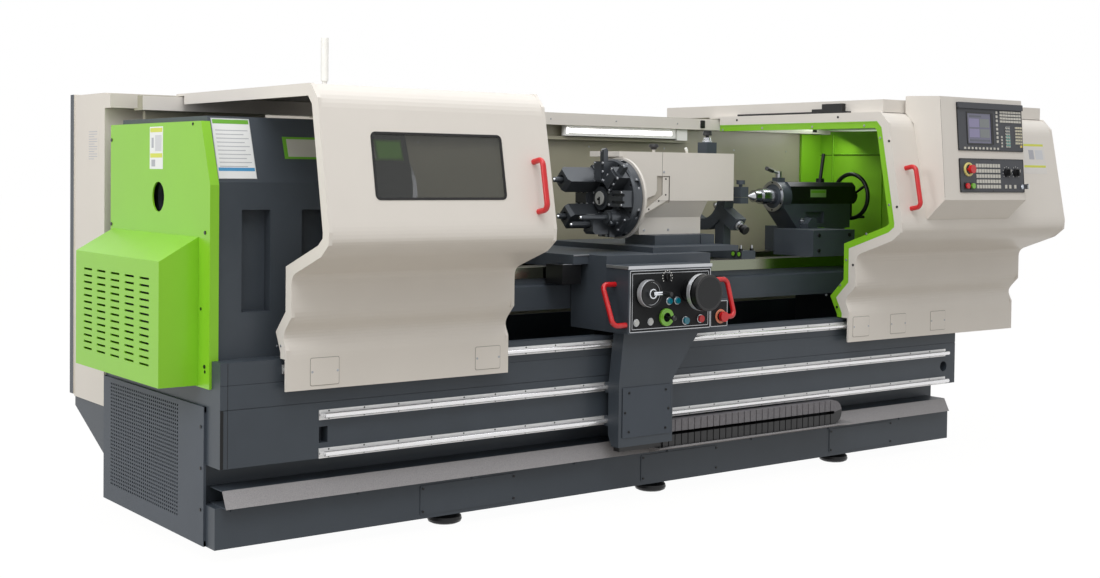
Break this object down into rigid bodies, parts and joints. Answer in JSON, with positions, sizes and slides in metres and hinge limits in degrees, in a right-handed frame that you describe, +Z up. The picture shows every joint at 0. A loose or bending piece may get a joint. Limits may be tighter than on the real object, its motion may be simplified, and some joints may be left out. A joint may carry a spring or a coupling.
{
  "type": "engine lathe",
  "caption": "Floor-standing engine lathe with sliding splash guards, swing-out control box, disc turret on a cross slide, steady rest and tailstock.",
  "frame": {"origin": "on the floor, at the centre of the middle front levelling foot", "axes": "+X along the bed from the headstock to the tailstock, +Y from the operator to the back, +Z up"},
  "size_m": [4.654, 1.9967, 1.99],
  "materials": {
    "slate_paint": "satin",
    "cream_paint": "satin",
    "green_paint": "satin",
    "wall_paint": "satin",
    "cast_slate": "satin",
    "ground_steel": "ground",
    "rail_aluminium": "satin",
    "shaft_chrome": "polished",
    "black_oxide": "satin",
    "panel_black": "matt",
    "red_plastic": "gloss",
    "teal_plastic": "gloss",
    "green_plastic": "gloss",
    "black_plastic": "satin",
    "key_plastic": "satin",
    "white_plastic": "satin",
    "window_glass": "tinted"
  },
  "bodies": {
    "frame": {"base_cabinet": "slate_paint", "chip_tray": "slate_paint", "levelling_feet": "black_oxide", "front_plates": "slate_paint", "cover_screws": "black_oxide", "rail_supports": "rail_aluminium", "rail_shafts": "shaft_chrome", "bed": "cast_slate", "bed_ways": "ground_steel", "end_grille": "slate_paint", "end_cover": "green_paint", "vent_box": "green_paint", "electrical_cabinet": "cream_paint", "headstock": "cast_slate", "splash_guard": "wall_paint", "work_lamp": "white_plastic", "signal_tower": "white_plastic"},
    "spindle": {"spindle_shaft": "ground_steel", "chuck_body": "ground_steel", "chuck_jaws": "ground_steel"},
    "left_guard": {"left_door_shell": "cream_paint", "left_window": "window_glass", "left_door_handle": "red_plastic"},
    "right_guard": {"right_door_shell": "cream_paint", "right_door_liner": "green_paint", "right_door_handle": "red_plastic", "control_box": "cream_paint", "control_panels": "panel_black", "control_keys": "key_plastic", "interlock_switch": "black_plastic"},
    "top_stop": {"estop_top": "red_plastic"},
    "feed_dial": {"feed_knob": "black_plastic"},
    "speed_dial": {"speed_knob": "black_plastic"},
    "green_button": {"start_button": "green_plastic"},
    "red_button": {"stop_button": "red_plastic"},
    "key": {"key_switch": "ground_steel"},
    "carriage": {"saddle": "cast_slate", "operator_box": "slate_paint", "operator_panel": "panel_black", "carriage_handles": "red_plastic", "cable_chain": "black_plastic"},
    "left_handwheel": {"cross_wheel": "black_oxide"},
    "right_handwheel": {"long_wheel": "black_oxide"},
    "selector": {"axis_selector": "black_plastic"},
    "joystick": {"axis_joystick": "black_plastic"},
    "teal_button": {"panel_start": "teal_plastic"},
    "hold_button": {"panel_hold": "red_plastic"},
    "low_stop": {"estop_low": "red_plastic"},
    "cross_slide": {"cross_slide": "cast_slate", "turret_housing": "cream_paint"},
    "turret": {"turret_disc": "black_oxide", "tool_holders": "black_oxide"},
    "steady": {"steady_rest": "cast_slate", "steady_jaws": "ground_steel"},
    "tailstock": {"tailstock_body": "cast_slate"},
    "quill": {"tail_quill": "ground_steel"},
    "centre": {"live_centre": "ground_steel"},
    "tail_handwheel": {"tail_wheel": "black_oxide"},
    "quill_clamp": {"quill_lever": "ground_steel"},
    "base_clamp": {"clamp_lever": "black_oxide"}
  },
  "joints": [
    {"name": "spindle_turn", "type": "hinge", "parent": "frame", "child": "spindle", "pos_m": [-1.275, 0.41, 1.3], "axis": [1, 0, 0], "continuous": true},
    {"name": "left_guard_slide", "type": "slide", "parent": "frame", "child": "left_guard", "axis": [1, 0, 0], "range_m": [-0.18, 0.06]},
    {"name": "right_guard_slide", "type": "slide", "parent": "frame", "child": "right_guard", "axis": [1, 0, 0], "range_m": [-0.42, 0.1]},
    {"name": "top_stop_press", "type": "slide", "parent": "right_guard", "child": "top_stop", "axis": [0, 0.9966, -0.0824], "range_m": [0, 0.005], "stiffness_N_per_m": 900, "springref_m": -0.003},
    {"name": "feed_dial_turn", "type": "hinge", "parent": "right_guard", "child": "feed_dial", "pos_m": [1.743, -0.58121, 1.43255], "axis": [0, -0.9966, 0.0824], "range_deg": [-140, 140]},
    {"name": "speed_dial_turn", "type": "hinge", "parent": "right_guard", "child": "speed_dial", "pos_m": [1.815, -0.58121, 1.43255], "axis": [0, -0.9966, 0.0824], "range_deg": [-140, 140]},
    {"name": "green_button_press", "type": "slide", "parent": "right_guard", "child": "green_button", "axis": [0, 0.9966, -0.0824], "range_m": [0, 0.003], "stiffness_N_per_m": 500, "springref_m": -0.002},
    {"name": "red_button_press", "type": "slide", "parent": "right_guard", "child": "red_button", "axis": [0, 0.9966, -0.0824], "range_m": [0, 0.003], "stiffness_N_per_m": 500, "springref_m": -0.002},
    {"name": "key_turn", "type": "hinge", "parent": "right_guard", "child": "key", "pos_m": [1.858, -0.58681, 1.36479], "axis": [0, -0.9966, 0.0824], "range_deg": [-90, 0]},
    {"name": "carriage_feed", "type": "slide", "parent": "frame", "child": "carriage", "axis": [1, 0, 0], "range_m": [-0.26, 0.01]},
    {"name": "left_handwheel_turn", "type": "hinge", "parent": "carriage", "child": "left_handwheel", "pos_m": [-0.299, -0.295, 0.911], "axis": [0, -1, 0], "continuous": true},
    {"name": "right_handwheel_turn", "type": "hinge", "parent": "carriage", "child": "right_handwheel", "pos_m": [-0.06, -0.295, 0.911], "axis": [0, -1, 0], "continuous": true},
    {"name": "selector_turn", "type": "hinge", "parent": "carriage", "child": "selector", "pos_m": [-0.179, -0.295, 0.974], "axis": [0, -1, 0], "range_deg": [-60, 60]},
    {"name": "joystick_tilt", "type": "hinge", "parent": "carriage", "child": "joystick", "pos_m": [-0.187, -0.275, 0.805], "axis": [0, 0, 1], "range_deg": [-14, 14], "stiffness_Nm_per_rad": 0.6},
    {"name": "teal_button_press", "type": "slide", "parent": "carriage", "child": "teal_button", "axis": [0, 1, 0], "range_m": [0, 0.003], "stiffness_N_per_m": 500, "springref_m": -0.002},
    {"name": "hold_button_press", "type": "slide", "parent": "carriage", "child": "hold_button", "axis": [0, 1, 0], "range_m": [0, 0.003], "stiffness_N_per_m": 500, "springref_m": -0.002},
    {"name": "low_stop_press", "type": "slide", "parent": "carriage", "child": "low_stop", "axis": [0, 1, 0], "range_m": [0, 0.005], "stiffness_N_per_m": 900, "springref_m": -0.003},
    {"name": "cross_feed", "type": "slide", "parent": "carriage", "child": "cross_slide", "axis": [0, 1, 0], "range_m": [-0.03, 0.08]},
    {"name": "turret_index", "type": "hinge", "parent": "cross_slide", "child": "turret", "pos_m": [-0.125, 0.16, 1.297], "axis": [1, 0, 0], "continuous": true},
    {"name": "steady_slide", "type": "slide", "parent": "frame", "child": "steady", "axis": [1, 0, 0], "range_m": [-0.01, 0.06]},
    {"name": "tailstock_slide", "type": "slide", "parent": "frame", "child": "tailstock", "axis": [1, 0, 0], "range_m": [-0.04, 0.12]},
    {"name": "quill_feed", "type": "slide", "parent": "tailstock", "child": "quill", "axis": [-1, 0, 0], "range_m": [-0.06, 0.12]},
    {"name": "centre_turn", "type": "hinge", "parent": "quill", "child": "centre", "pos_m": [1.022, 0.41, 1.3], "axis": [1, 0, 0], "continuous": true},
    {"name": "tail_handwheel_turn", "type": "hinge", "parent": "tailstock", "child": "tail_handwheel", "pos_m": [1.757, 0.41, 1.3], "axis": [-1, 0, 0], "range_deg": [-4300, 8600]},
    {"name": "quill_clamp_turn", "type": "hinge", "parent": "tailstock", "child": "quill_clamp", "pos_m": [1.194, 0.4, 1.4], "axis": [0, 0, 1], "range_deg": [-30, 60]},
    {"name": "base_clamp_turn", "type": "hinge", "parent": "tailstock", "child": "base_clamp", "pos_m": [1.515, 0.41, 1.38], "axis": [0, 0, 1], "range_deg": [-40, 40]}
  ],
  "couplings": [
    {"joint": "quill_feed", "follows": "tail_handwheel_turn", "m_per_rad": 0.00079577}
  ]
}
